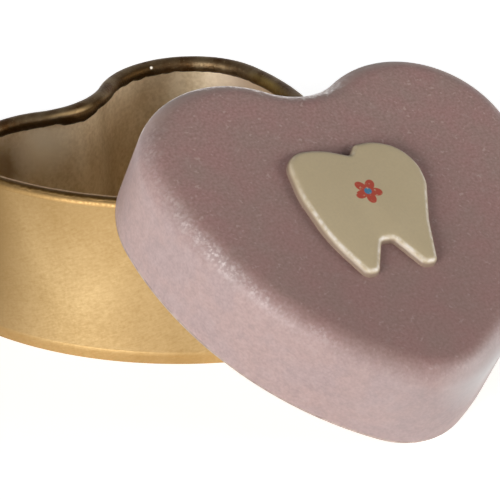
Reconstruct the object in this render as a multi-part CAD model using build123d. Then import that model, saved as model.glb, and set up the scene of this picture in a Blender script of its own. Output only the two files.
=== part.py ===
from build123d import *
from math import asin, atan2, cos, degrees, hypot, sqrt
import os

# Heart-shaped keepsake tin for milk teeth, in millimetres.
# The origin is on the table under the middle of the tin, halfway between its lobes.
# +Z is up, +Y points to the heart's notch and -Y to its tip.
# The lid is off: its tip stands on the table and its skirt leans on the tin's rolled rim.

# Heart outline, measured outside the tin's wall
tin_width = 60.0
lobe_radius = 15.0
tip_drop = 30.0
tip_radius = 11.3
side_radius = 50.5
notch_radius = 13.0

# Tin body
tin_height = 28.0
sheet = 0.35
rim_radius = 1.3
rim_curl_angle = 250.0
foot_height = 2.2
foot_inset = 0.15
foot_edge_radius = 0.3
ridge_radius = 0.4
ridge_stand = 0.15
base_ledge = 1.4
base_lift = 0.6
base_panel_inset = 5.0
base_panel_rise = 0.4
side_seam_width = 5.0
side_seam_step = 0.2

# Lid
lid_height = 16.8
lid_clearance = 1.45
lid_edge_radius = 4.1
hem_height = 0.6
hem_fold = 1.8
hem_edge_radius = 0.25

# Tooth emblem on the lid's top
tooth_width = 21.4
tooth_length = 23.0
tooth_stand = 1.3
tooth_edge_radius = 0.6
tooth_set_back = 12.4

# Where the lid's skirt meets the rim: angles on the lid's two lobes and on the tin's left side
lid_left_angle = 146.5
lid_right_angle = 107.3
rim_left_angle = 211.0
rest_gap = 0.3
table_gap = 0.1

# The tooth's outline, clockwise from the dip in its crown; its roots lean a little to the left.
# Each corner is a share of the half width, a share of the length and a rounding,
# which is a share of the width or the length, whichever is less.
tooth_corner_shares = [
    (0.03, -0.06, 0.025),
    (0.17, 0.02, 0.06),
    (0.62, 0.03, 0.3),
    (1.02, -0.16, 0.3),
    (0.99, -0.37, 0.2),
    (0.72, -0.67, 0.45),
    (0.52, -1.0, 0.06),
    (0.3, -1.0, 0.06),
    (0.03, -0.77, 0.04),
    (-0.15, -0.77, 0.035),
    (-0.41, -1.0, 0.06),
    (-0.61, -1.0, 0.06),
    (-0.91, -0.68, 0.9),
    (-1.02, -0.33, 0.55),
    (-0.97, 0.04, 0.18),
    (-0.36, 0.02, 0.45),
]


# Places that the heart outline follows from its sizes
lobe_offset = tin_width / 2 - lobe_radius
lobe_place = Vector(lobe_offset, 0)
tip_place = Vector(0, -tip_drop)
notch_place = Vector(0, sqrt((lobe_radius + notch_radius) ** 2 - lobe_offset**2))


def mirrored(place):
    return Vector(-place.X, place.Y)


def bearing(start, end):
    return degrees(atan2(end.Y - start.Y, end.X - start.X))


def on_circle(centre, radius, angle):
    return centre + Vector(radius, 0).rotate(Axis.Z, angle)


# The point at one distance from each of two places, to the right of the way from the first to the second
def crossing(first, first_distance, second, second_distance):
    way = second - first
    along = (first_distance**2 - second_distance**2 + way.length**2) / (2 * way.length)
    aside = sqrt(first_distance**2 - along**2)
    forward = way.normalized()
    return first + forward * along + Vector(forward.Y, -forward.X) * aside


# The long side arc touches the lobe and the tip from outside them
side_place = crossing(lobe_place, side_radius - lobe_radius, tip_place, side_radius - tip_radius)
tip_end = bearing(side_place, tip_place)
lobe_start = bearing(side_place, lobe_place)
lobe_end = bearing(lobe_place, notch_place)


# Six tangent arcs, pushed outward everywhere by grow
def heart_wire(grow):
    side_turn = lobe_start - tip_end
    lobe_turn = lobe_end - lobe_start
    tip = CenterArc(tip_place, tip_radius + grow, 180 - tip_end, 180 + 2 * tip_end)
    side = CenterArc(side_place, side_radius + grow, tip_end, side_turn)
    lobe = CenterArc(lobe_place, lobe_radius + grow, lobe_start, lobe_turn)
    notch = CenterArc(notch_place, notch_radius - grow, lobe_end - 180, 180 - 2 * lobe_end)
    left_lobe = CenterArc(mirrored(lobe_place), lobe_radius + grow, 180 - lobe_end, lobe_turn)
    left_side = CenterArc(mirrored(side_place), side_radius + grow, 180 - lobe_start, side_turn)
    return Wire([tip, side, lobe, notch, left_lobe, left_side])


def heart_slab(grow, low, high):
    return extrude(Pos(0, 0, low) * Face(heart_wire(grow)), high - low)


def heart_ring(outer, inner, low, high):
    return heart_slab(outer, low, high) - heart_slab(inner, low, high)


# Carries a section round the heart: its X runs outward and its Y up from the outline at this height
def around_heart(section, grow, height):
    path = Pos(0, 0, height) * heart_wire(grow)
    forward = path % 0
    start = Plane(path @ 0, x_dir=forward.cross(Vector(0, 0, 1)), z_dir=-forward)
    return sweep(start * section, path=path)


def make_tin_wall():
    return heart_ring(0, -sheet, foot_height, tin_height - rim_radius)


# The wall's top edge, curled inward and under
def make_rim_curl():
    start = Vector(rim_radius, 0)
    inner_start = Vector(rim_radius - sheet, 0)
    outer_arc = CenterArc((0, 0), rim_radius, 0, rim_curl_angle)
    inner_arc = CenterArc((0, 0), rim_radius - sheet, 0, rim_curl_angle)
    ends = [Line(start, inner_start), Line(outer_arc @ 1, inner_arc @ 1)]
    section = make_face([outer_arc, inner_arc, *ends])
    return around_heart(section, -rim_radius, tin_height - rim_radius)


# The wall's lower edge: a ridge, a drawn-in foot and a ledge turned in under the base
def make_foot_seam():
    ridge = Vector(ridge_stand, foot_height - ridge_radius)
    corners = [
        (-base_ledge, 0),
        (-foot_inset, 0),
        ridge,
        (0, foot_height),
        (-sheet, foot_height),
        (-sheet, base_lift),
        (-base_ledge, base_lift),
    ]
    section = make_face(Polyline(*corners, close=True))
    foot_corner = section.vertices().sort_by_distance((-foot_inset, 0))[0]
    section = fillet(foot_corner, foot_edge_radius)
    ridge_corner = section.vertices().sort_by_distance(ridge)[0]
    section = fillet(ridge_corner, ridge_radius)
    return around_heart(section, 0, 0)


# A pressed plate on the ledge, with a raised panel
def make_base_plate():
    top = base_lift + sheet
    rim = heart_ring(-sheet, -base_panel_inset, base_lift, top)
    step = heart_ring(-base_panel_inset, -base_panel_inset - sheet, base_lift, top + base_panel_rise)
    panel = heart_slab(-base_panel_inset - sheet, base_lift + base_panel_rise, top + base_panel_rise)
    return rim + step + panel


# The lapped joint that closes the wall's strip, outside at the notch
def make_side_seam():
    band = heart_ring(side_seam_step, 0, foot_height, tin_height - rim_radius)
    span = Box(side_seam_width, tin_width, tin_height, align=(Align.CENTER, Align.MIN, Align.MIN))
    return band & span


# One pressing: a flat top, a rounded edge and a straight skirt
def make_lid_shell():
    outer = heart_slab(lid_clearance + sheet, hem_height, lid_height)
    outer = fillet(outer.edges().group_by(Axis.Z)[-1], lid_edge_radius)
    inner = heart_slab(lid_clearance, hem_height, lid_height - sheet)
    inner = fillet(inner.edges().group_by(Axis.Z)[-1], lid_edge_radius - sheet)
    return outer - inner


# The skirt's lower edge, folded up inside it
def make_lid_hem():
    edge = heart_ring(lid_clearance + sheet, lid_clearance - sheet, 0, hem_height)
    edge = fillet(edge.edges().group_by(Axis.Z)[0], hem_edge_radius)
    fold = heart_ring(lid_clearance, lid_clearance - sheet, hem_height, hem_height + hem_fold)
    return edge + fold


# A plain molar with two roots, cushioned at its edge
def make_tooth_emblem():
    places = [(across * tooth_width / 2, down * tooth_length) for across, down, _ in tooth_corner_shares]
    lesser_size = min(tooth_width, tooth_length)
    roundings = [rounding * lesser_size for _, _, rounding in tooth_corner_shares]
    outline = FilletPolyline(*places, radius=roundings, close=True)
    crown = Pos(0, tooth_length / 2 - tooth_set_back, lid_height) * make_face(outline)
    tooth = extrude(crown, tooth_stand)
    return fillet(tooth.edges().group_by(Axis.Z)[-1], tooth_edge_radius)


# The open lid's skirt bears on the rim's curl at two points, and its tip is just over the table.
# The hem's plane holds the level line through both points, so the line sets the lean's axis.
def find_lid_place():
    bearing_radius = lobe_radius + lid_clearance - sheet
    lid_left = on_circle(mirrored(lobe_place), bearing_radius, lid_left_angle)
    lid_right = on_circle(lobe_place, bearing_radius, lid_right_angle)
    lid_turn = bearing(lid_left, lid_right)
    uphill = Vector(0, 1).rotate(Axis.Z, lid_turn)
    lowest = tip_place - uphill * (tip_radius + lid_clearance + sheet)
    slope_run = (lid_left - lowest).dot(uphill)

    curl_height = tin_height - rim_radius
    stand_off = rim_radius + rest_gap
    slope = hypot(slope_run, stand_off)
    lean = degrees(asin((curl_height - table_gap) / slope)) + degrees(atan2(stand_off, slope_run))

    curl_radius = side_radius - rim_radius
    rim_left = on_circle(mirrored(side_place), curl_radius, rim_left_angle)
    rim_right = crossing(rim_left, (lid_right - lid_left).length, side_place, curl_radius)
    rim_turn = bearing(rim_left, rim_right)

    turned = Rot(0, 0, rim_turn) * Rot(lean, 0, 0) * Rot(0, 0, -lid_turn)
    bearing_place = rim_left + Vector(0, 0, curl_height)
    stand_place = (turned * Pos(lid_left.X, lid_left.Y, -stand_off)).position
    return Pos(bearing_place - stand_place) * turned


lid_place = find_lid_place()

parts = {
    "tin_wall": make_tin_wall(),
    "rim_curl": make_rim_curl(),
    "foot_seam": make_foot_seam(),
    "base_plate": make_base_plate(),
    "side_seam": make_side_seam(),
    "lid_shell": lid_place * make_lid_shell(),
    "lid_hem": lid_place * make_lid_hem(),
    "tooth_emblem": lid_place * make_tooth_emblem(),
}

os.makedirs("parts", exist_ok=True)
for name, shape in parts.items():
    export_step(shape, f"parts/{name}.step")
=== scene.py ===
import math
import bpy
from mathutils import Matrix, Vector


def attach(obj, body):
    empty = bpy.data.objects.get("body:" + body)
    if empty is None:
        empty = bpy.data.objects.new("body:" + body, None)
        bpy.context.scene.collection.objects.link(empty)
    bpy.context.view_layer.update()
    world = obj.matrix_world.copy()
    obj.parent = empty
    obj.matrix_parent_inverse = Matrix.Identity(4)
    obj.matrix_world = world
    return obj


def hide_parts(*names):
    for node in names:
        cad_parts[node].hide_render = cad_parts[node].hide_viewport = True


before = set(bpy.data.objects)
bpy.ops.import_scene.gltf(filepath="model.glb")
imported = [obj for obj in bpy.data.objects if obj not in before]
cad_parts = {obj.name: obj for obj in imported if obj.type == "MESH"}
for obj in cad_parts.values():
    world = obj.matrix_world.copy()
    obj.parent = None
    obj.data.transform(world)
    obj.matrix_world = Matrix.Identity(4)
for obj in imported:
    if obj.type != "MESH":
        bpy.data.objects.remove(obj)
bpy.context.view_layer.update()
mm = 0.001
hair = 0.01 * mm  # what differs by less is at the same level
weldReach = 0.002 * mm  # points nearer than this are merged

# a heart-shaped keepsake tin for milk teeth: the outline of its wall, as half its width, how far
# its tip's centre lies from its lobes' centres, and the radii that the metal was bent to
heart = dict(halfWidth=30 * mm, lobe=15 * mm, tipDrop=30 * mm, tip=11.3 * mm, side=50.5 * mm,
             notch=13 * mm)

tin = dict(height=28 * mm, sheet=0.35 * mm, curl=1.3 * mm, foot=2.2 * mm)

# the open lid: what its skirt measures, and where it meets the rim, in degrees round the arcs
lid = dict(height=16.8 * mm, clearance=1.45 * mm, edge=4.1 * mm, hem=0.6 * mm, fold=1.8 * mm,
           hemEdge=0.25 * mm, leftAngle=146.5, rightAngle=107.3, rimAngle=211.0,
           restGap=0.3 * mm, tableGap=0.1 * mm)


# the point at a reach from each of two places, to the right of the way from first to second
def crossing(first, firstReach, second, secondReach):
    way = second - first
    along = (firstReach**2 - secondReach**2 + way.length**2) / (2 * way.length)
    aside = math.sqrt(firstReach**2 - along**2)
    ahead = way.normalized()
    return first + ahead * along + Vector((ahead.y, -ahead.x)) * aside


def bearing(start, end):
    return math.atan2(end.y - start.y, end.x - start.x)


def onCircle(centre, radius, angle):
    return centre + radius * Vector((math.cos(angle), math.sin(angle)))


def mirrored(place):
    return Vector((-place.x, place.y))


lobeX = heart["halfWidth"] - heart["lobe"]
lobePlace = Vector((lobeX, 0))
tipPlace = Vector((0, -heart["tipDrop"]))
notchPlace = Vector((0, math.sqrt((heart["lobe"] + heart["notch"])**2 - lobeX**2)))
sidePlace = crossing(lobePlace, heart["side"] - heart["lobe"],
                     tipPlace, heart["side"] - heart["tip"])
tipEnd = bearing(sidePlace, tipPlace)
lobeStart = bearing(sidePlace, lobePlace)
lobeEnd = bearing(lobePlace, notchPlace)

# the outline's arcs from the tip's left end, anticlockwise: centre, turn and radius
heartArcs = [
    (tipPlace, math.pi + 2 * tipEnd, heart["tip"]),
    (sidePlace, lobeStart - tipEnd, heart["side"]),
    (lobePlace, lobeEnd - lobeStart, heart["lobe"]),
    (notchPlace, math.pi - 2 * lobeEnd, heart["notch"]),
    (mirrored(lobePlace), lobeEnd - lobeStart, heart["lobe"]),
    (mirrored(sidePlace), lobeStart - tipEnd, heart["side"]),
]


# the lid leans until its skirt bears on the rim's curl left and right, and its tip is on the table
def findLidPlace():
    reach = heart["lobe"] + lid["clearance"] - tin["sheet"]
    lidLeft = onCircle(mirrored(lobePlace), reach, math.radians(lid["leftAngle"]))
    lidRight = onCircle(lobePlace, reach, math.radians(lid["rightAngle"]))
    lidTurn = bearing(lidLeft, lidRight)
    uphill = Vector((-math.sin(lidTurn), math.cos(lidTurn)))
    lowest = tipPlace - uphill * (heart["tip"] + lid["clearance"] + tin["sheet"])
    run = (lidLeft - lowest).dot(uphill)
    curlHeight = tin["height"] - tin["curl"]
    standOff = tin["curl"] + lid["restGap"]
    slope = math.hypot(run, standOff)
    lean = math.asin((curlHeight - lid["tableGap"]) / slope) + math.atan2(standOff, run)
    curlReach = heart["side"] - tin["curl"]
    rimLeft = onCircle(mirrored(sidePlace), curlReach, math.radians(lid["rimAngle"]))
    rimRight = crossing(rimLeft, (lidRight - lidLeft).length, sidePlace, curlReach)
    turned = (Matrix.Rotation(bearing(rimLeft, rimRight), 4, "Z") @ Matrix.Rotation(lean, 4, "X")
              @ Matrix.Rotation(-lidTurn, 4, "Z"))
    stand = turned @ Vector((lidLeft.x, lidLeft.y, -standOff))
    return Matrix.Translation(Vector((rimLeft.x, rimLeft.y, curlHeight)) - stand) @ turned


lidPlace = findLidPlace()
print("lid place", [round(v, 4) for v in lidPlace.translation])


def startEdit():
    bpy.ops.object.mode_set(mode="EDIT")


def endEdit():
    bpy.ops.object.mode_set(mode="OBJECT")


def nothingSelected():
    bpy.ops.object.select_all(action="DESELECT")


def pickOnly(piece):
    nothingSelected()
    piece.select_set(True)
    bpy.context.view_layer.objects.active = piece


def drawLine(name, places):  # by extruding one point from place to place
    nothingSelected()
    bpy.ops.mesh.primitive_plane_add(size=1 * mm, location=places[0])
    piece = bpy.context.object
    piece.name = name
    bpy.ops.object.transform_apply(location=True, rotation=True, scale=True)
    startEdit()
    bpy.ops.mesh.select_all(action="SELECT")
    bpy.ops.mesh.merge(type="CENTER")
    for before, after in zip(places, places[1:]):
        bpy.ops.mesh.extrude_region_move(TRANSFORM_OT_translate={"value": after - before})
    return piece


def drawSection(name, points):  # at the tip's left end: outward and up from the outline
    startAngle = math.pi - tipEnd
    out = Vector((math.cos(startAngle), math.sin(startAngle), 0))
    start = Vector((tipPlace.x, tipPlace.y, 0)) + out * heart["tip"]
    return drawLine(name, [start + out * outward + Vector((0, 0, up)) for outward, up in points])


def closeMesh():
    bpy.ops.mesh.select_all(action="SELECT")
    bpy.ops.mesh.remove_doubles(threshold=weldReach)
    bpy.ops.mesh.normals_make_consistent(inside=False)
    endEdit()


# the section carried round the heart, arc by arc
def spinHeart(stepLength=1.0 * mm, fewestSteps=4):
    bpy.ops.mesh.select_all(action="SELECT")
    for centre, turn, radius in heartArcs:
        steps = max(fewestSteps, round(abs(turn) * radius / stepLength))
        bpy.ops.mesh.spin(steps=steps, angle=-turn, center=(centre.x, centre.y, 0), axis=(0, 0, 1))
    closeMesh()


def applyModifier(piece, kind, **settings):
    modifier = piece.modifiers.new(kind.title(), kind)
    for name, value in settings.items():
        setattr(modifier, name, value)
    bpy.context.view_layer.objects.active = piece
    bpy.ops.object.modifier_apply(modifier=modifier.name)


def arcPoints(centre, radius, first, last, count):  # degrees, as places outward and up
    turns = [math.radians(first + (last - first) * i / count) for i in range(count + 1)]
    return [(centre[0] + radius * math.cos(t), centre[1] + radius * math.sin(t)) for t in turns]


def smooth(piece, degrees=35):
    pickOnly(piece)
    bpy.ops.object.shade_smooth_by_angle(angle=math.radians(degrees))


def colour(hexText):
    def linear(part):
        part = int(part, 16) / 255
        return part / 12.92 if part <= 0.04045 else ((part + 0.055) / 1.055)**2.4
    return (linear(hexText[0:2]), linear(hexText[2:4]), linear(hexText[4:6]), 1)


def newMaterial(name, **settings):
    material = bpy.data.materials.new(name)
    material.use_nodes = True
    shader = material.node_tree.nodes["Principled BSDF"]
    for socket, value in settings.items():
        shader.inputs[socket.replace("_", " ")].default_value = value
    return material, shader


# the inputs go by name or number, each a value or another node's socket
def addNode(material, kind, inputs, **settings):
    node = material.node_tree.nodes.new(kind)
    for name, value in settings.items():
        setattr(node, name, value)
    for name, value in inputs.items():
        if isinstance(value, bpy.types.NodeSocket):
            material.node_tree.links.new(value, node.inputs[name])
        else:
            node.inputs[name].default_value = value
    return node.outputs


def connect(material, socket, target):
    material.node_tree.links.new(socket, target)


def objectPlace(material):
    return addNode(material, "ShaderNodeTexCoord", {})["Object"]


def lidFrame(material):  # places measured in the lid's own frame, upright under the lid
    inputs = {"Vector": objectPlace(material), "Location": lidPlace.translation,
              "Rotation": lidPlace.to_euler()}
    return addNode(material, "ShaderNodeMapping", inputs, vector_type="TEXTURE")[0]


def splitPlace(material, place):
    return addNode(material, "ShaderNodeSeparateXYZ", {0: place})


def noise(material, place, scale, detail=3.0):  # the scale is cells to the metre, so 1000 is 1 mm
    inputs = {"Vector": place, "Scale": scale, "Detail": detail}
    return addNode(material, "ShaderNodeTexNoise", inputs)[0]


def ranged(material, value, low, high, toLow=0.0, toHigh=1.0):
    inputs = {0: value, 1: low, 2: high, 3: toLow, 4: toHigh}
    return addNode(material, "ShaderNodeMapRange", inputs)[0]


def calc(material, operation, *values):
    return addNode(material, "ShaderNodeMath", dict(enumerate(values)), operation=operation)[0]


def times(material, first, second):
    return calc(material, "MULTIPLY", first, second)


def most(material, first, second):
    return calc(material, "MAXIMUM", first, second)


def blend(material, amount, first, second):  # colours as hex text or sockets
    first, second = [colour(tone) if isinstance(tone, str) else tone for tone in (first, second)]
    return addNode(material, "ShaderNodeMix", {0: amount, 6: first, 7: second}, data_type="RGBA")[2]


# one within the first distance of a spot and none past the second, all three in mm
def near(material, place, spot, full, gone):
    inputs = {0: place, 1: [value * mm for value in spot]}
    away = addNode(material, "ShaderNodeVectorMath", inputs, operation="DISTANCE")["Value"]
    return ranged(material, away, gone * mm, full * mm)


def stain(material, place, ground, tint, share, spot, full, gone):
    amount = times(material, near(material, place, spot, full, gone), share)
    return blend(material, amount, ground, tint)


def bump(material, shader, height, strength, depth):
    inputs = {"Height": height, "Strength": strength, "Distance": depth}
    connect(material, addNode(material, "ShaderNodeBump", inputs)[0], shader.inputs["Normal"])


# in the finishes, a pair of tones is the range that a pattern runs through, a row of two or four
# numbers is what ranged takes, and a spot is its place in mm with the reaches that near takes
lacquer = dict(
    roughness=0.47, brass=("A98C5D", "C9AD7E"), tone=(1.0, 2.0), grain=2000.0, clouds=120.0,
    scratchTurn=(-0.31, -0.3, 0), scratchSize=(1.3 * mm, 1.3 * mm, 0.27 * mm), relief=0.2,
    reliefDepth=0.02 * mm, shadeTone="86693F", shadeUnderRim=(9 * mm, 27 * mm, 0, 0.65),
    leftShadeSpot=((-31.5, 1, 0), 3, 15), leftShadeFade=(0, 20 * mm, 0.6, 1),
    lidShadowSpot=((-20, -27, 0), 3, 12), lidShadowShare=0.38,
    seam="B38A4C", seamHeight=(2.4 * mm, 1.6 * mm, 0, 0.35))


# the gold lacquer's tone and its fine relief: slanting scratches, grain and clouds, with painted
# shade at the far left, a painted shadow of the lid beside it and painted shade under the rim
def lacquerTone(material, place):
    inputs = {"Vector": place, "Rotation": lacquer["scratchTurn"], "Scale": lacquer["scratchSize"]}
    slanting = addNode(material, "ShaderNodeMapping", inputs, vector_type="TEXTURE")[0]
    scratches = noise(material, slanting, 1.0)
    relief = calc(material, "ADD", scratches, noise(material, place, lacquer["grain"]))
    clouds = noise(material, place, lacquer["clouds"])
    tone = ranged(material, calc(material, "ADD", relief, clouds), *lacquer["tone"])
    brass = blend(material, tone, *lacquer["brass"])
    level = addNode(material, "ShaderNodeMapping", {"Vector": place, "Scale": (1, 1, 0)})[0]
    height = splitPlace(material, place)["Z"]
    # painted shade: the gold darker at the far left, in a painted shadow of the lid, and under the
    # rim
    leftShade = times(material, near(material, level, *lacquer["leftShadeSpot"]),
                 ranged(material, height, *lacquer["leftShadeFade"]))
    lidShadow = times(material, near(material, level, *lacquer["lidShadowSpot"]), lacquer["lidShadowShare"])
    shadeUnderRim = ranged(material, height, *lacquer["shadeUnderRim"])
    shadeTone = most(material, most(material, leftShade, lidShadow), shadeUnderRim)
    return blend(material, shadeTone, brass, lacquer["shadeTone"]), relief


# gold lacquered tinplate, rolled and then rubbed: warm broad reflections, softened by scratches,
# and browner on the rubbed seam
def makeGoldLacquer():
    material, shader = newMaterial("GoldLacqueredTinplate", Metallic=1.0,
                                   Roughness=lacquer["roughness"])
    place = objectPlace(material)
    brass, relief = lacquerTone(material, place)
    low = ranged(material, splitPlace(material, place)["Z"], *lacquer["seamHeight"])
    connect(material, blend(material, low, brass, lacquer["seam"]), shader.inputs["Base Color"])
    bump(material, shader, relief, lacquer["relief"], lacquer["reliefDepth"])
    return material


# the turns are degrees round the curl, from its outside over its top
rimBronzeFinish = dict(
    bronze=("523920", "857358"), patches=350.0, worn=(0.35, 0.8), grain=2500.0,
    glint="A08C66", glinting=(0.6, 0.75, 0, 0.5),
    forward=(-0.72, -0.69, 0), front=(19 * mm, 22 * mm, 0, 0.85),
    crestReflection=("5E4219", "B08E66"), crestReflectionTurn=(84, 94),
    edgeNoise=900.0, edgeWander=(0.3, 0.7, -7.0, 7.0), edgeTurn=(44.0, 62.0),
    shadedLacquer="86693F", shadedLacquerShare=0.45, roughness=(0.3, 0.7, 0.4, 0.6),
    relief=0.75, reliefDepth=0.12 * mm, reliefFrom=(0, 1, 0.02, 1),
    held="927A45", heldSpot=((26, -8.5, 27), 2, 7), heldTurn=(110, 145),
    heldPatches=(0.3, 0.6, 0.5, 1),
    curlShade="38260F", notchSpots=[((15, 12.5, 27), 3.5, 7), ((1.5, 8.2, 27), 2, 4.5)],
    notchTurn=(115, 140, 0, 0.9), insideSpot=((-6, 10, 27), 11, 20), insideTurn=(158, 172, 0, 0.8),
    ridge="C7A878", ridgeHighlightSpot=((-3.4, 8.6, 27.5), 1.5, 5),
    ridgeHighlightTurns=[(128, 142), (160, 150, 0, 0.65)],
    bare="FFF6E6", glintSpot=((18.7, 12.0, 27.3), 0.1, 0.32))


# rubbed where it is held, with painted shade darkest inside the notch and under the curl at the
# left, and a painted highlight along a ridge beside the notch
def rimWear(material, place, turn, patches, bronze):
    finish = rimBronzeFinish
    held = times(material, near(material, place, *finish["heldSpot"]),
                 ranged(material, turn, *finish["heldTurn"]))
    held = times(material, held, ranged(material, patches, *finish["heldPatches"]))
    bronze = blend(material, held, bronze, finish["held"])
    # painted shade inside the notch and along the curl's underside at the left
    curlShade = most(material, *[near(material, place, *spot) for spot in finish["notchSpots"]])
    curlShade = times(material, curlShade, ranged(material, turn, *finish["notchTurn"]))
    inside = times(material, near(material, place, *finish["insideSpot"]),
                   ranged(material, turn, *finish["insideTurn"]))
    bronze = blend(material, most(material, curlShade, inside), bronze, finish["curlShade"])
    # painted highlight: a pale line along a ridge of the curl beside the notch
    ridge = times(material, *[ranged(material, turn, *turns) for turns in finish["ridgeHighlightTurns"]])
    rubbed = times(material, near(material, place, *finish["ridgeHighlightSpot"]), ridge)
    return blend(material, rubbed, bronze, finish["ridge"])


# the rolled rim: the lacquer burnt and rubbed to a dark bronze, with a painted reflection along its
# front crest, dark below its top and pale over it
def makeRimBronze():
    finish = rimBronzeFinish
    material, shader = newMaterial("BurntBronzeRim", Metallic=1.0)
    place = objectPlace(material)
    turn = addNode(material, "ShaderNodeAttribute", {}, attribute_name="curlTurn")["Fac"]
    patches = noise(material, place, finish["patches"], 4.0)
    grain = noise(material, place, finish["grain"])
    bronze = blend(material, ranged(material, patches, *finish["worn"]), *finish["bronze"])
    bronze = blend(material, ranged(material, grain, *finish["glinting"]), bronze, finish["glint"])
    toFront = addNode(material, "ShaderNodeVectorMath", {0: place, 1: finish["forward"]},
                      operation="DOT_PRODUCT")["Value"]
    # painted reflection on the front crest: dark below its top, pale over it
    crestReflection = blend(material, ranged(material, turn, *finish["crestReflectionTurn"]), *finish["crestReflection"])
    bronze = blend(material, ranged(material, toFront, *finish["front"]), bronze, crestReflection)
    bronze = rimWear(material, place, turn, patches, bronze)
    wander = ranged(material, noise(material, place, finish["edgeNoise"]), *finish["edgeWander"])
    dark = ranged(material, calc(material, "ADD", turn, wander), *finish["edgeTurn"])
    brass = lacquerTone(material, place)[0]
    # painted shade: the lacquer under the bronze darkened further to tone down its highlight
    shadedLacquer = blend(material, finish["shadedLacquerShare"], brass, finish["shadedLacquer"])
    metal = blend(material, dark, shadedLacquer, bronze)
    glintDot = near(material, place, *finish["glintSpot"])  # painted highlight: one near-white dot on the inside
    connect(material, blend(material, glintDot, metal, finish["bare"]), shader.inputs["Base Color"])
    connect(material, ranged(material, grain, *finish["roughness"]), shader.inputs["Roughness"])
    uneven = times(material, calc(material, "ADD", patches, grain),
                   ranged(material, dark, *finish["reliefFrom"]))
    bump(material, shader, uneven, finish["relief"], finish["reliefDepth"])
    return material


# the spots are painted light and shade: painted shade in the left lobe, a painted patch of light
# under the rim and a paler painted one at the right
tinplateFinish = dict(
    taupe=("DCC8A6", "F4E4C8"), tone=(0.75, 1.25), streakScale=(300, 300, 80), grain=1500.0,
    paintedLightAndShade=[("8F7654", 0.85, (-14, 14.5, 19), 2, 7), ("FFF6E2", 1.0, (-6.5, 12.2, 21), 1, 6),
            ("FFECD8", 0.85, (29.5, -1.5, 24), 3, 11)],
    roughness=(0, 1, 0.5, 0.6), relief=0.3, reliefDepth=0.04 * mm)


# the sheet's inside, lacquered thin and dull: soft blurred reflections of a taupe metal
def makeDullTinplate():
    finish = tinplateFinish
    material, shader = newMaterial("DullTinplateInside", Metallic=1.0)
    place = objectPlace(material)
    inputs = {"Vector": place, "Scale": finish["streakScale"]}
    streaks = noise(material, addNode(material, "ShaderNodeMapping", inputs)[0], 1.0)
    grain = noise(material, place, finish["grain"])
    tone = ranged(material, calc(material, "ADD", streaks, grain), *finish["tone"])
    taupe = blend(material, tone, *finish["taupe"])
    # painted light and shade spots on the inside
    for tint, share, *spot in finish["paintedLightAndShade"]:
        taupe = stain(material, place, taupe, tint, share, *spot)
    connect(material, taupe, shader.inputs["Base Color"])
    connect(material, ranged(material, streaks, *finish["roughness"]), shader.inputs["Roughness"])
    bump(material, shader, grain, finish["relief"], finish["reliefDepth"])
    return material


# the lid's top is plainer, with painted shade deepening its tone towards the tip
topFinish = dict(
    tones=("A79085", "B68883"), clouds=(0.35, 0.65), specks=("9A7771", "C2A09A"), speckShare=0.6,
    blotch="C4ADA6", blotches=(0.6, 0.75, 0, 0.35), fleck="D4BDB5", fleckScale=1100.0,
    flecks=(0.66, 0.73, 0, 0.45), shade=("866863", 0.38, (-4, -30, 16.8), 10, 40))


def topPaint(material, place, clouds, blotches, speck):
    finish = topFinish
    pink = blend(material, ranged(material, clouds, *finish["clouds"]), *finish["tones"])
    specks = blend(material, speck, *finish["specks"])
    pink = blend(material, finish["speckShare"], pink, specks)
    pink = blend(material, ranged(material, blotches, *finish["blotches"]), pink, finish["blotch"])
    flecks = noise(material, place, finish["fleckScale"], 2.0)
    pink = blend(material, ranged(material, flecks, *finish["flecks"]), pink, finish["fleck"])
    # painted shade, deepening the top's tone towards the tip
    return stain(material, place, pink, *finish["shade"])


# the skirt's paler tones are a painted sheen, and a whiter painted sheen lies at the tip's right
# and, thinner, at the tip
skirtFinish = dict(
    tones=("BDA4A2", "C3A6A1"), clouds=(0.42, 0.58), specks=("A48986", "D6BDB9"), speckShare=0.3,
    darkBlotch="9E8A86", darkBlotches=(0.34, 0.52, 0.22, 0),
    paleBlotch="D0BDB9", paleBlotches=(0.52, 0.7, 0, 0.22), skirtSheenMask=(16.75 * mm, 13.7 * mm),
    whiteSheen="E4DCDA", rightSheenSpot=((7, -39.5, 15), 3, 11), tipSheenSpot=((-3, -42, 7), 3, 15), tipSheenShare=0.12)


def skirtPaint(material, clouds, blotches, speck):
    finish = skirtFinish
    dusty = blend(material, ranged(material, clouds, *finish["clouds"]), *finish["tones"])
    specks = blend(material, speck, *finish["specks"])
    dusty = blend(material, finish["speckShare"], dusty, specks)
    dark = ranged(material, blotches, *finish["darkBlotches"])
    dusty = blend(material, dark, dusty, finish["darkBlotch"])
    pale = ranged(material, blotches, *finish["paleBlotches"])
    return blend(material, pale, dusty, finish["paleBlotch"])


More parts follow.
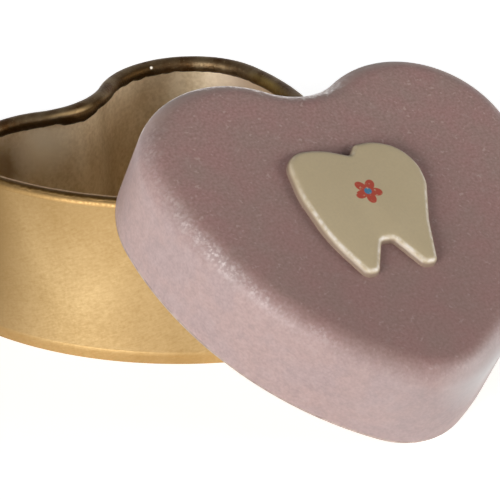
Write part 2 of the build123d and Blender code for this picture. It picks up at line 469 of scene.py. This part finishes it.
# wear mixed with painted highlight on the lid's rounded edge, in bands of height: brightest at the
# front left, and a line along the back
wearFinish = dict(
    band=[(14.6 * mm, 15.6 * mm), (16.65 * mm, 16.0 * mm)], everywhere=(0.5, 0.65, 0.05, 0.35),
    brightSpot=((-26.8, -15, 15.6), 3, 15), besideSpot=((-28, 6, 15), 3, 8), besideShare=0.3,
    brokenScale=450.0, broken=(0.4, 0.58, 0.25, 1), behind=(8 * mm, 11 * mm),
    backEdgeHighlight="C9AB9F", backEdgeHighlightShare=0.6, backEdgeHighlightHeight=(16.75 * mm, 16.4 * mm),
    lineSpot=((-12, 13, 15.5), 15, 20), lineTop=(-30 * mm, -16 * mm, 13.3 * mm, 16.25 * mm),
    lineRise=(-16 * mm, -8 * mm, 0, 0.2 * mm), line=[(0, 0.4 * mm), (2.4 * mm, 1.2 * mm)],
    raggedScale=900.0, ragged=(0.3, 0.7, -0.3 * mm, 0.3 * mm),
    rubbed="D0BBB9", rubbedShare=0.45, chip="E8D8D5", chipScale=1900.0, chips=(0.47, 0.62),
    bare="FFF8F4", bareChips=(0, 1, 0.4, 1))


def edgeWearAndHighlight(material, place, height, clouds):
    finish = wearFinish
    beside = times(material, near(material, place, *finish["besideSpot"]), finish["besideShare"])
    # the front left of the edge is brightest: wear with painted highlight
    bright = most(material, near(material, place, *finish["brightSpot"]), beside)
    worn = most(material, bright, ranged(material, clouds, *finish["everywhere"]))
    band = times(material, *[ranged(material, height, *limits) for limits in finish["band"]])
    broken = ranged(material, noise(material, place, finish["brokenScale"]), *finish["broken"])
    return times(material, times(material, worn, band), broken)


# a ragged pale line under the lid's back edge, which sinks round the lobe's side: a painted
# highlight along the back silhouette, bare metal where it is chipped
def backLineHighlight(material, place, sides, behind):
    finish = wearFinish
    ragged = ranged(material, noise(material, place, finish["raggedScale"]), *finish["ragged"])
    ragged = calc(material, "ADD", ragged, ranged(material, sides["X"], *finish["lineRise"]))
    top = calc(material, "ADD", ranged(material, sides["X"], *finish["lineTop"]), ragged)
    under = calc(material, "SUBTRACT", top, sides["Z"])
    line = times(material, *[ranged(material, under, *limits) for limits in finish["line"]])
    line = times(material, near(material, place, *finish["lineSpot"]), line)
    return times(material, line, behind)


pinkFinish = dict(
    roughness=0.47, clouds=180.0, blotches=700.0, grain=2200.0, speck=(0.3, 0.7),
    relief=(0, 1, 0.45, 0.25), reliefDepth=0.09 * mm)


# baked matt paint, sprayed over bare tinplate: dusty and speckled, with a painted sheen on the
# skirt, and rubbed pale with painted highlight on the rounded edge
def makePinkPaint():
    material, shader = newMaterial("DustyPinkBakedPaint", IOR=1.48,
                                   Roughness=pinkFinish["roughness"])
    place = lidFrame(material)
    sides = splitPlace(material, place)
    clouds, blotches, grain = [noise(material, place, pinkFinish[pattern], 4.0)
                               for pattern in ("clouds", "blotches", "grain")]
    speck = ranged(material, grain, *pinkFinish["speck"])
    pink = topPaint(material, place, clouds, blotches, speck)
    # the skirt's paler paint, a painted sheen, blended in by height
    skirtSheenMask = ranged(material, sides["Z"], *skirtFinish["skirtSheenMask"])
    pink = blend(material, skirtSheenMask, pink, skirtPaint(material, clouds, blotches, speck))
    # a whiter painted sheen at the tip's right and at the tip
    right = near(material, place, *skirtFinish["rightSheenSpot"])
    tip = times(material, near(material, place, *skirtFinish["tipSheenSpot"]), skirtFinish["tipSheenShare"])
    whiteSheen = times(material, most(material, right, tip), skirtSheenMask)
    pink = blend(material, whiteSheen, pink, skirtFinish["whiteSheen"])
    behind = ranged(material, sides["Y"], *wearFinish["behind"])
    # a pale band along the back top edge: painted highlight
    backEdgeHighlight = times(material, behind, ranged(material, sides["Z"], *wearFinish["backEdgeHighlightHeight"]))
    pink = blend(material, times(material, backEdgeHighlight, wearFinish["backEdgeHighlightShare"]), pink, wearFinish["backEdgeHighlight"])
    # painted highlight along the back silhouette, bare metal where chipped
    back = backLineHighlight(material, place, sides, behind)
    worn = most(material, edgeWearAndHighlight(material, place, sides["Z"], clouds), back)
    # pale rubbing, mixed with painted highlight, on the worn edge
    rubbed = times(material, worn, wearFinish["rubbedShare"])
    pink = blend(material, rubbed, pink, wearFinish["rubbed"])
    chips = noise(material, place, wearFinish["chipScale"], 5.0)
    chips = ranged(material, chips, *wearFinish["chips"])
    pink = blend(material, times(material, worn, chips), pink, wearFinish["chip"])
    bare = times(material, back, ranged(material, chips, *wearFinish["bareChips"]))
    connect(material, bare, shader.inputs["Metallic"])
    connect(material, blend(material, bare, pink, wearFinish["bare"]), shader.inputs["Base Color"])
    strength = ranged(material, skirtSheenMask, *pinkFinish["relief"])
    bump(material, shader, grain, strength, pinkFinish["reliefDepth"])
    return material


rawEdgeFinish = dict(tones=("A8938B", "C4B1A7"), rub=900.0, rubbed=(0.35, 0.65), metal=0.7,
                     roughness=0.45, relief=0.3, reliefDepth=0.03 * mm)


# bare tinplate where the sheet was cut and folded, dulled by overspray: a thin pale line under
# the paint
def makeRawEdge():
    finish = rawEdgeFinish
    material, shader = newMaterial("DulledTinplateEdge", Metallic=finish["metal"],
                                   Roughness=finish["roughness"])
    rub = noise(material, objectPlace(material), finish["rub"])
    tone = blend(material, ranged(material, rub, *finish["rubbed"]), *finish["tones"])
    connect(material, tone, shader.inputs["Base Color"])
    bump(material, shader, rub, finish["relief"], finish["reliefDepth"])
    return material


# the lengths are in mm
flower = dict(centre=(0, -9.6), petals=5, turn=0.3, heart=1.2, petal=1.1, eye=0.6, blur=0.07,
              ink="C4503C", eyeInk="4D89AE", wear=1500.0, worn=(0.3, 0.42))


# a small worn print on the enamel: five red petals round a blue dot
def flowerPrint(material, place, ground):
    centre = [-value * mm for value in flower["centre"]]
    inputs = {"Vector": place, "Scale": (1, 1, 0), "Location": (*centre, 0)}
    flat = addNode(material, "ShaderNodeMapping", inputs)[0]
    reach = addNode(material, "ShaderNodeVectorMath", {0: flat}, operation="LENGTH")["Value"]
    sides = splitPlace(material, flat)
    angle = calc(material, "ADD", calc(material, "ARCTAN2", sides["Y"], sides["X"]), flower["turn"])
    lobes = calc(material, "COSINE", times(material, angle, flower["petals"] / 2))
    outline = ranged(material, calc(material, "ABSOLUTE", lobes), 0, 1, flower["heart"] * mm,
                     (flower["heart"] + flower["petal"]) * mm)
    blur = flower["blur"] * mm
    petals = ranged(material, calc(material, "SUBTRACT", reach, outline), blur, -blur)
    eye = ranged(material, reach, flower["eye"] * mm + blur, flower["eye"] * mm - blur)
    ink = blend(material, eye, flower["ink"], flower["eyeInk"])
    gaps = ranged(material, noise(material, place, flower["wear"], 4.0), *flower["worn"])
    return blend(material, times(material, petals, gaps), ground, ink)


enamelFinish = dict(
    roughness=0.36, cream=("D3BF98", "DBC8A3"), clouds=250.0, grain=2200.0,
    grainTone="CFBC99", grainy=(0.3, 0.7, 0, 0.5),
    side="8E776B", sideHeight=(17.8 * mm, 17.4 * mm, 0, 0.85),
    rubbed="FFF4E6", shoulderHighlight=[(17.6 * mm, 17.85 * mm), (18.07 * mm, 17.97 * mm)],
    streaks=1100.0, streaked=(0.38, 0.6, 0.15, 0.9), lower=(-5 * mm, -12 * mm, 0.3, 1),
    relief=0.3, reliefDepth=0.04 * mm)


# cream enamel, baked on the raised tooth: a soft satin shine, with a painted highlight along its
# shoulder on the lower left, and thin on its sides
def makeCreamEnamel():
    finish = enamelFinish
    material, shader = newMaterial("CreamEnamel", Roughness=finish["roughness"], IOR=1.5)
    place = lidFrame(material)
    sides = splitPlace(material, place)
    grain = noise(material, place, finish["grain"])
    cream = blend(material, noise(material, place, finish["clouds"], 4.0), *finish["cream"])
    cream = blend(material, ranged(material, grain, *finish["grainy"]), cream, finish["grainTone"])
    cream = flowerPrint(material, place, cream)
    height = sides["Z"]
    cream = blend(material, ranged(material, height, *finish["sideHeight"]), cream, finish["side"])
    # painted highlight on the shoulder, broken by streaks, on the lower left
    shoulderHighlight = times(material, *[ranged(material, height, *limits) for limits in finish["shoulderHighlight"]])
    streaks = ranged(material, noise(material, place, finish["streaks"], 5.0), *finish["streaked"])
    lower = ranged(material, sides["Y"], *finish["lower"])
    rub = times(material, shoulderHighlight, times(material, streaks, lower))
    connect(material, blend(material, rub, cream, finish["rubbed"]), shader.inputs["Base Color"])
    bump(material, shader, grain, finish["relief"], finish["reliefDepth"])
    return material


goldLacquer = makeGoldLacquer()
rimBronze = makeRimBronze()
dullTinplate = makeDullTinplate()
pinkPaint = makePinkPaint()
rawEdge = makeRawEdge()
creamEnamel = makeCreamEnamel()
print("materials made")


def paintPiece(piece, *materials):
    piece.data.materials.clear()
    for material in materials:
        piece.data.materials.append(material)


# turns every face over if the one furthest along a direction faces the other way
def turnOut(piece, direction):
    furthest = max(piece.data.polygons, key=lambda face: face.center.dot(direction))
    if furthest.normal.dot(direction) < 0:
        pickOnly(piece)
        startEdit()
        bpy.ops.mesh.select_all(action="SELECT")
        bpy.ops.mesh.flip_normals()
        endEdit()


def thicken(piece, thickness, even=True):  # inward, with the second material inside
    applyModifier(piece, "SOLIDIFY", thickness=thickness, offset=-1, use_even_offset=even,
                  material_offset=1)


def giveBody(piece, body, node):
    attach(piece, body)
    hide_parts(node)


def putOnLid(piece):  # from the lid's own frame to where the lid leans
    pickOnly(piece)
    piece.matrix_world = lidPlace @ piece.matrix_world
    bpy.ops.object.transform_apply(location=True, rotation=True, scale=True)


def riseUp(outward, low, high, count):  # places on an upright run, both ends taken
    return [(outward, low + (high - low) * i / count) for i in range(count + 1)]


front = Vector((0, -1, 0))
above = Vector((0, 0, 1))

wall = dict(rows=8)


def makeWall():
    low, high = tin["foot"], tin["height"] - tin["curl"]
    piece = drawSection("goldWall", riseUp(0, low, high, wall["rows"]))
    spinHeart()
    turnOut(piece, front)
    paintPiece(piece, goldLacquer, dullTinplate)
    thicken(piece, tin["sheet"])
    smooth(piece)
    giveBody(piece, "tin", "tin_wall")


# the curl's last turns are ragged, and it bunches up where it turns the notch
rim = dict(turn=250, steps=25, stepLength=0.6 * mm, waveSize=1.6 * mm, wave=0.05 * mm, smooth=50,
           ragged=0.7 * mm, raggedTurn=160, bunch=0.7 * mm, bunchTurn=120, rise=90,
           bunchAcross=-1 * mm, bunchReach=4 * mm)
notchEdge = Vector((rim["bunchAcross"], notchPlace.y - heart["notch"] - 2 * tin["curl"],
                    tin["height"] - tin["curl"]))


# how far outside the outline a place is
def standOut(place):
    spot = Vector((abs(place.x), place.y))
    fromNotch = spot - notchPlace
    if spot.y > 0 and fromNotch.y < 0 and fromNotch.x * notchPlace.y < -fromNotch.y * lobePlace.x:
        return heart["notch"] - fromNotch.length
    if bearing(tipPlace, spot) < tipEnd:
        return (spot - tipPlace).length - heart["tip"]
    if bearing(sidePlace, spot) < lobeStart:
        return (spot - sidePlace).length - heart["side"]
    return (spot - lobePlace).length - heart["lobe"]


def curlTurnAt(place):
    across = standOut(place) + tin["curl"]
    up = place.z - (tin["height"] - tin["curl"])
    turn = math.degrees(math.atan2(up, across))
    return turn if turn > -5 else turn + 360


def weigh(piece, groupName, weights):
    group = piece.vertex_groups.new(name=groupName)
    for index, weight in enumerate(weights):
        group.add([index], weight, "REPLACE")


# the wall's top edge curled inward and under; curlTurn tells the paint how far round the curl it is
def makeRim():
    centre = (-tin["curl"], tin["height"] - tin["curl"])
    piece = drawSection("rolledRim", arcPoints(centre, tin["curl"], 0, rim["turn"], rim["steps"]))
    spinHeart(rim["stepLength"])
    turnOut(piece, above)
    paintPiece(piece, rimBronze, rimBronze)
    turns = [curlTurnAt(vertex.co) for vertex in piece.data.vertices]
    piece.data.attributes.new("curlTurn", "FLOAT", "POINT").data.foreach_set("value", turns)
    closeness = [max(0, 1 - (vertex.co - notchEdge).length / rim["bunchReach"])
                 for vertex in piece.data.vertices]
    ragged, bunched = [[min(1, max(0, (turn - start) / rim["rise"])) for turn in turns]
                       for start in (rim["raggedTurn"], rim["bunchTurn"])]
    weigh(piece, "rolledUnder", ragged)
    weigh(piece, "bunchedAtNotch",
          [weight * close**0.5 for weight, close in zip(bunched, closeness)])
    clouds = bpy.data.textures.new("rimWaves", "CLOUDS")
    clouds.noise_scale = rim["waveSize"]
    applyModifier(piece, "DISPLACE", strength=-rim["bunch"], mid_level=0, direction="Z",
                  vertex_group="bunchedAtNotch")
    applyModifier(piece, "DISPLACE", strength=-rim["bunch"] / 2, mid_level=0, direction="Y",
                  vertex_group="bunchedAtNotch")
    applyModifier(piece, "DISPLACE", texture=clouds, strength=rim["wave"], mid_level=0.5)
    applyModifier(piece, "DISPLACE", texture=clouds, strength=rim["ragged"], mid_level=0.5,
                  direction="Z", vertex_group="rolledUnder")
    thicken(piece, tin["sheet"])
    smooth(piece, rim["smooth"])
    giveBody(piece, "tin", "rim_curl")


# the ridge's places are outward, and up from the foot's top edge
foot = dict(ridge=[(0, 0), (0.02 * mm, -0.15 * mm), (0.04 * mm, -0.4 * mm), (0.03 * mm, -0.7 * mm),
                   (-0.02 * mm, -1.0 * mm)],
            inset=0.12 * mm, edge=0.3 * mm, edgeStart=-8, edgeSteps=6, ledge=1.4 * mm,
            lift=0.6 * mm, smooth=40)


# the wall's lower edge folded under the base: a soft ridge, a drawn-in foot and a ledge
def makeFoot():
    sheet, top = tin["sheet"], tin["foot"]
    ridge = [(outward, top + up) for outward, up in foot["ridge"]]
    corner = arcPoints((-foot["inset"] - foot["edge"], foot["edge"]), foot["edge"],
                       foot["edgeStart"], -90, foot["edgeSteps"])
    ledge = [(-foot["ledge"], 0), (-foot["ledge"], foot["lift"]), (-sheet, foot["lift"]),
             (-sheet, top), (0, top)]
    piece = drawSection("baseSeam", ridge + corner + ledge)
    spinHeart()
    turnOut(piece, front)
    paintPiece(piece, goldLacquer)
    smooth(piece, foot["smooth"])
    giveBody(piece, "tin", "foot_seam")


# closes the ring of open edges whose vertices pass a test, and works the face inward in level rings
def fillHole(piece, test, rings=3, ringWidth=2.0 * mm):
    pickOnly(piece)
    startEdit()
    bpy.ops.mesh.select_all(action="DESELECT")
    endEdit()
    for vertex in piece.data.vertices:
        vertex.select = test(vertex.co)
    startEdit()
    bpy.ops.mesh.select_mode(type="VERT")
    bpy.ops.mesh.edge_face_add()
    for ring in range(rings):
        bpy.ops.mesh.inset(thickness=ringWidth)
    bpy.ops.mesh.select_all(action="SELECT")
    bpy.ops.mesh.normals_make_consistent(inside=False)
    endEdit()


# the softness is how far the pressed step's two bends reach, across and up
base = dict(panelInset=5.0 * mm, panelRise=0.4 * mm, softAcross=0.08 * mm, softUp=0.05 * mm,
            rimReach=0.4 * mm, panelReach=1.2 * mm, smooth=30)


# the base plate on the ledge, its middle raised by a pressed step
def makeBase():
    sheet, top = tin["sheet"], foot["lift"] + tin["sheet"]
    inset, raised = base["panelInset"], top + base["panelRise"]
    panelEdge = -inset - base["panelReach"]
    piece = drawSection("basePlate", [
        (-sheet, top), (-inset + base["rimReach"], top), (-inset, top),
        (-inset - base["softAcross"], top + base["softUp"]),
        (-inset - sheet + base["softAcross"], raised - base["softUp"]),
        (-inset - sheet, raised), (panelEdge, raised)])
    spinHeart()
    fillHole(piece, lambda place: place.z > raised - hair and standOut(place) < panelEdge + hair,
             rings=1)
    turnOut(piece, above)
    paintPiece(piece, dullTinplate, dullTinplate)
    thicken(piece, tin["sheet"], even=False)
    smooth(piece, base["smooth"])
    giveBody(piece, "tin", "base_plate")


sideSeam = dict(width=5.0 * mm, stand=0.2 * mm, edge=0.07 * mm, steps=12)


# the lapped joint that closes the wall's strip, outside at the notch
def makeSideSeam():
    low, high = tin["foot"], tin["height"] - tin["curl"]
    halfTurn = math.asin(sideSeam["width"] / 2 / heart["notch"])
    out = Vector((math.sin(halfTurn), math.cos(halfTurn), 0))
    start = Vector((notchPlace.x, notchPlace.y, 0)) - out * heart["notch"]
    corners = [(0, low), (sideSeam["stand"], low), (sideSeam["stand"], high), (0, high)]
    piece = drawLine("sideSeam", [start + out * outward + above * up for outward, up in corners])
    bpy.ops.mesh.select_all(action="SELECT")
    bpy.ops.mesh.edge_face_add()
    bpy.ops.mesh.spin(steps=sideSeam["steps"], angle=-2 * halfTurn,
                      center=(notchPlace.x, notchPlace.y, 0), axis=(0, 0, 1))
    closeMesh()
    applyModifier(piece, "BEVEL", width=sideSeam["edge"], segments=2, limit_method="ANGLE",
                  angle_limit=math.radians(50))
    paintPiece(piece, goldLacquer)
    smooth(piece)
    giveBody(piece, "tin", "side_seam")


makeWall()
makeRim()
makeFoot()
makeBase()
makeSideSeam()
print("tin made")

pressing = dict(rows=8, edgeSteps=14, hemSteps=5)


# one pressing: a straight skirt, a rounded edge and a flat top
def makeLidShell():
    outside = lid["clearance"] + tin["sheet"]
    springing = lid["height"] - lid["edge"]
    skirt = riseUp(outside, lid["hem"], springing, pressing["rows"])
    edge = arcPoints((outside - lid["edge"], springing), lid["edge"], 0, 90, pressing["edgeSteps"])
    piece = drawSection("lidPressing", skirt + edge[1:])
    spinHeart()
    fillHole(piece, lambda place: place.z > lid["height"] - hair)
    turnOut(piece, above)
    paintPiece(piece, pinkPaint, dullTinplate)
    thicken(piece, tin["sheet"])
    smooth(piece)
    putOnLid(piece)
    giveBody(piece, "lid", "lid_shell")


# the skirt's lower edge, folded up inside it
def makeLidHem():
    outside, inside = lid["clearance"] + tin["sheet"], lid["clearance"] - tin["sheet"]
    rounding = lid["hemEdge"]
    steps = pressing["hemSteps"]
    outer = arcPoints((outside - rounding, rounding), rounding, 0, -90, steps)
    inner = arcPoints((inside + rounding, rounding), rounding, -90, -180, steps)
    fold = [(inside, lid["hem"] + lid["fold"]), (lid["clearance"], lid["hem"] + lid["fold"]),
            (lid["clearance"], lid["hem"]), (outside, lid["hem"])]
    piece = drawSection("lidHem", [(outside, lid["hem"])] + outer + inner + fold)
    spinHeart()
    turnOut(piece, front)
    paintPiece(piece, rawEdge)
    smooth(piece)
    putOnLid(piece)
    giveBody(piece, "lid", "lid_hem")


# the tooth's corners, clockwise from the dip in its crown: share of half width, share of length,
# and rounding as a share of the width
tooth = dict(width=21.4 * mm, length=23.0 * mm, stand=1.3 * mm, edge=1.1 * mm, setBack=12.4 * mm,
             cornerSteps=10, edgeSteps=7, smooth=40,
             corners=[(0.03, -0.06, 0.025), (0.17, 0.02, 0.06), (0.62, 0.03, 0.3),
                      (1.02, -0.16, 0.3), (0.99, -0.37, 0.2), (0.72, -0.67, 0.45),
                      (0.52, -1.0, 0.06), (0.3, -1.0, 0.06), (0.03, -0.77, 0.04),
                      (-0.15, -0.77, 0.035), (-0.41, -1.0, 0.06), (-0.61, -1.0, 0.06),
                      (-0.91, -0.68, 0.9), (-1.02, -0.33, 0.55), (-0.97, 0.04, 0.18),
                      (-0.36, 0.02, 0.45)])


def selectNear(piece, place):
    bpy.ops.mesh.select_all(action="DESELECT")
    endEdit()
    nearest = min(piece.data.vertices, key=lambda vertex: (vertex.co - place).length)
    nearest.select = True
    startEdit()
    bpy.ops.mesh.select_mode(type="VERT")


# a plain molar with two roots, cushioned at its edge
def makeTooth():
    top = tooth["length"] / 2 - tooth["setBack"]
    places = [Vector((across * tooth["width"] / 2, down * tooth["length"] + top, lid["height"]))
              for across, down, rounding in tooth["corners"]]
    roundings = [rounding * tooth["width"] for across, down, rounding in tooth["corners"]]
    piece = drawLine("toothEmblem", places)
    bpy.ops.mesh.select_all(action="SELECT")
    bpy.ops.mesh.edge_face_add()
    for i, place in enumerate(places):
        before, after = places[i - 1] - place, places[(i + 1) % len(places)] - place
        turn = math.pi - before.angle(after)
        selectNear(piece, place)
        bpy.ops.mesh.bevel(offset=roundings[i] * math.tan(turn / 2), offset_type="OFFSET",
                           affect="VERTICES", segments=tooth["cornerSteps"], clamp_overlap=False)
    bpy.ops.mesh.select_all(action="SELECT")
    bpy.ops.mesh.extrude_region_move(TRANSFORM_OT_translate={"value": above * tooth["stand"]})
    bpy.ops.mesh.bevel(offset=tooth["edge"], segments=tooth["edgeSteps"], affect="EDGES")
    closeMesh()
    paintPiece(piece, creamEnamel)
    smooth(piece, tooth["smooth"])
    putOnLid(piece)
    giveBody(piece, "lid", "tooth_emblem")


makeLidShell()
makeLidHem()
makeTooth()
print("lid made")

# metres and watts; the lamps are given by the direction they are seen in from the object
studio = dict(floor="DCDCDC", floorSize=6.0, floorDrop=0.02 * mm, floorGlow=0.79,
              shadowReach=(70 * mm, 130 * mm), ambient=0.08, ceiling=0.35, ceilingFrom=(0.3, 0.75),
              dimSide=(-0.55, 0.83, 0), dimming=(0.5, 0.95, 1.0, 0.5),
              lampAim=(5 * mm, -30 * mm, 15 * mm), lampReach=1.1, lampSize=0.6,
              lamps=[("keyLamp", (-0.97, -0.2, 0.12), 12.0), ("sideLamp", (0.55, -0.83, 0.1), 8.0)])


# pale floor: the camera sees it white further out and dimmer near the object, which keeps the
# object's shadow in it, and the metal sees it white
def makeFloor():
    nothingSelected()
    bpy.ops.mesh.primitive_plane_add(size=studio["floorSize"], location=(0, 0, -studio["floorDrop"]))
    floor = bpy.context.object
    floor.name = "floor"
    bpy.ops.object.transform_apply(location=True, rotation=True, scale=True)
    material, shader = newMaterial("PaleFloor", Roughness=0.9, Base_Color=colour(studio["floor"]))
    rays = addNode(material, "ShaderNodeLightPath", {})
    away = addNode(material, "ShaderNodeVectorMath", {0: objectPlace(material)},
                   operation="LENGTH")["Value"]
    fade = ranged(material, away, *studio["shadowReach"], studio["floorGlow"], 1)
    seen = times(material, rays["Is Camera Ray"], fade)
    strength = most(material, seen, rays["Is Glossy Ray"])
    glow = addNode(material, "ShaderNodeEmission", {"Strength": strength})[0]
    lit = addNode(material, "ShaderNodeAddShader", {0: shader.outputs[0], 1: glow})[0]
    connect(material, lit, material.node_tree.nodes["Material Output"].inputs["Surface"])
    floor.data.materials.append(material)


# the camera sees white; reflections see white low down, a dimmer ceiling and back; the rest is a
# low ambient light
def makeWorld():
    world = bpy.data.worlds.new("studio")
    bpy.context.scene.world = world
    world.use_nodes = True
    backdrop = world.node_tree.nodes["Background"]
    rays = addNode(world, "ShaderNodeLightPath", {})
    place = addNode(world, "ShaderNodeTexCoord", {})["Generated"]
    height = splitPlace(world, place)["Z"]
    ceiling = ranged(world, height, *studio["ceilingFrom"], 1.0, studio["ceiling"])
    towardsBack = addNode(world, "ShaderNodeVectorMath", {0: place, 1: studio["dimSide"]},
                          operation="DOT_PRODUCT")["Value"]
    dimmed = times(world, ceiling, ranged(world, towardsBack, *studio["dimming"]))
    reflected = addNode(world, "ShaderNodeMix", {0: rays["Is Glossy Ray"], 2: studio["ambient"],
                                                 3: dimmed})[0]
    level = addNode(world, "ShaderNodeMix", {0: rays["Is Camera Ray"], 2: reflected, 3: 1.0})[0]
    connect(world, level, backdrop.inputs["Strength"])
    backdrop.inputs["Color"].default_value = (1, 1, 1, 1)


def addLamp(name, towards, power):
    direction = Vector(towards).normalized()
    nothingSelected()
    spot = Vector(studio["lampAim"]) + direction * studio["lampReach"]
    turn = direction.to_track_quat("Z", "Y").to_euler()
    bpy.ops.object.light_add(type="AREA", location=spot, rotation=turn)
    lamp = bpy.context.object
    lamp.name = name
    lamp.data.shape = "DISK"
    lamp.data.size = studio["lampSize"]
    lamp.data.energy = power


# the angles are degrees, left of the tip and above the table
view = dict(aim=(18.35 * mm, -10.04 * mm, 0), distance=486.26 * mm, around=45.72, above=26.19,
            roll=1.77, sensor=36, lens=208.44, shiftX=0.0017, shiftY=0.0019, nearest=0.01)


def addCamera():
    around, up = math.radians(view["around"]), math.radians(view["above"])
    back = Vector((-math.sin(around) * math.cos(up), -math.cos(around) * math.cos(up), math.sin(up)))
    turned = (Matrix.Rotation(-around, 4, "Z") @ Matrix.Rotation(math.pi / 2 - up, 4, "X")
              @ Matrix.Rotation(-math.radians(view["roll"]), 4, "Z"))
    bpy.ops.object.camera_add()
    camera = bpy.context.object
    camera.matrix_world = Matrix.Translation(Vector(view["aim"]) + back * view["distance"]) @ turned
    camera.data.sensor_width = view["sensor"]
    camera.data.lens = view["lens"]
    camera.data.shift_x = view["shiftX"]
    camera.data.shift_y = view["shiftY"]
    camera.data.clip_start = view["nearest"]
    bpy.context.scene.camera = camera


makeFloor()
makeWorld()
for lampSettings in studio["lamps"]:
    addLamp(*lampSettings)
addCamera()
bpy.context.scene.view_settings.view_transform = "Standard"
print("stage, lamps and camera made")
